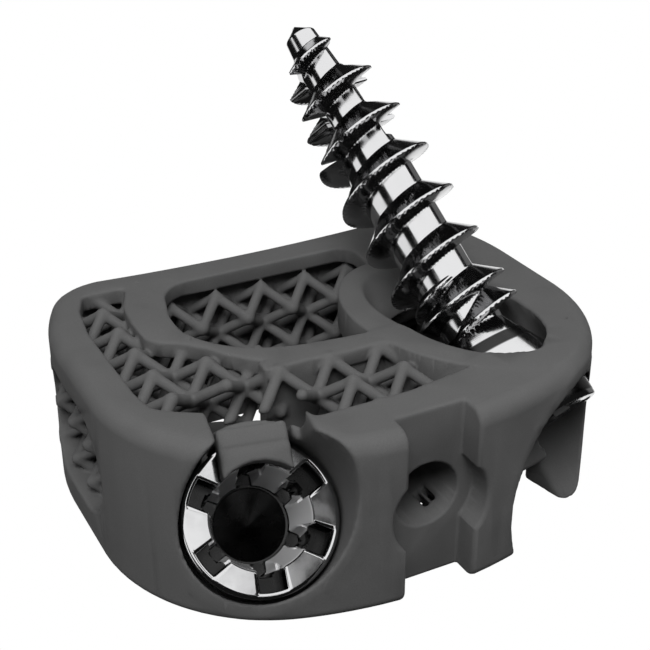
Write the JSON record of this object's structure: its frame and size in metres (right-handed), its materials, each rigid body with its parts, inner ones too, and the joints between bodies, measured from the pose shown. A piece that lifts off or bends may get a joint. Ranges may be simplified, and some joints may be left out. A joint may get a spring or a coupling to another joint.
{
  "type": "cervical interbody cage",
  "caption": "Printed titanium spinal cage with open strut lattice, graft window, inserter slot, locking tabs and angled bone screws through its top and bottom.",
  "frame": {"origin": "centre of the mouth of the inserter hole, on the floor of the slot in the front wall, at mid height", "axes": "+Y runs back through the cage away from the surgeon, +Z toward the top endplate, +X to the right seen from the front"},
  "size_m": [0.0182, 0.0153, 0.0234],
  "materials": {
    "printed_titanium": "matt, fine blasted grain, as printed in titanium",
    "polished_titanium": "polished titanium alloy, dark mirror"
  },
  "bodies": {
    "cage": {"cage_body": "printed_titanium"},
    "upper_screw": {"cranial_screw": "polished_titanium"},
    "lower_screw": {"caudal_screw": "polished_titanium"}
  },
  "joints": [
    {"name": "cranial_screw_spin", "type": "hinge", "parent": "cage", "child": "upper_screw", "pos_m": [0.0052, 0.00097, -0.00033], "axis": [-0.1482, 0.7411, 0.6549], "continuous": true},
    {"name": "caudal_screw_spin", "type": "hinge", "parent": "cage", "child": "lower_screw", "pos_m": [-0.0052, 0.00097, 0.00033], "axis": [0.1482, 0.7411, -0.6549], "continuous": true}
  ]
}
